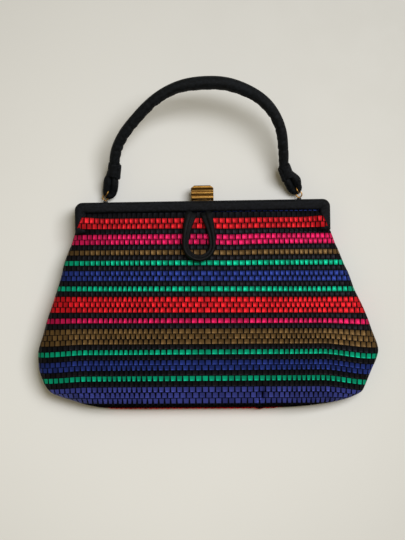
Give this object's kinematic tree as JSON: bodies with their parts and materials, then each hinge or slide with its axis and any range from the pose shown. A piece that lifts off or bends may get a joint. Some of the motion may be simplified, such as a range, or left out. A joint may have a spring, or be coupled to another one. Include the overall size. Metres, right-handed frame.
{
  "type": "framed handbag",
  "caption": "Framed handbag woven in coloured ribbon stripes, with a fabric-covered hinged frame, fluted brass clasp, ringed padded top handle and fabric pull loop.",
  "frame": {"origin": "on the back panel that the bag lies on, on the middle line of a black row near the bag's centre", "axes": "+X to the right seen from the front, +Y towards the handle, +Z out of the front panel"},
  "size_m": [0.2933, 0.282, 0.0473],
  "materials": {
    "black_cloth": "ribbed matte",
    "black_weave": "satin",
    "red_weave": "satin",
    "pink_weave": "satin",
    "ochre_weave": "satin",
    "green_weave": "satin",
    "blue_weave": "satin",
    "lining_cloth": "satin",
    "steel": "black enamel",
    "black_enamel": "black enamel",
    "brass": "worn polished"
  },
  "bodies": {
    "bag": {"woven_body": "black_weave", "red_ribbons": "red_weave", "pink_ribbons": "pink_weave", "ochre_ribbons": "ochre_weave", "green_ribbons": "green_weave", "blue_ribbons": "blue_weave", "lining": "lining_cloth", "rear_frame": "steel", "rear_frame_cover": "black_cloth", "hinge_rivets": "brass", "clasp_plate": "brass", "clasp_pin": "brass", "posts": "black_enamel", "eyes": "brass", "pull_loop": "black_cloth"},
    "front_half": {"front_frame": "steel", "front_frame_cover": "black_cloth", "clasp_catch": "brass"},
    "clasp": {"clasp_lever": "brass"},
    "handle": {"handle": "black_cloth", "left_keeper": "black_cloth", "right_keeper": "black_cloth", "left_end_loop": "black_cloth", "right_end_loop": "black_cloth", "left_ring": "brass", "right_ring": "brass"}
  },
  "joints": [
    {"name": "frame_hinge", "type": "hinge", "parent": "bag", "child": "front_half", "pos_m": [0, 0.06911, 0.0119], "axis": [1, 0, 0], "range_deg": [0, 70]},
    {"name": "clasp_lift", "type": "hinge", "parent": "bag", "child": "clasp", "pos_m": [0, 0.09982, 0.0079], "axis": [-1, 0, 0], "range_deg": [0, 35], "stiffness_Nm_per_rad": 0.02, "springref_deg": -11.46},
    {"name": "handle_swing", "type": "hinge", "parent": "bag", "child": "handle", "pos_m": [0, 0.10436, 0.0052], "axis": [1, 0, 0], "range_deg": [-102, 58]}
  ]
}
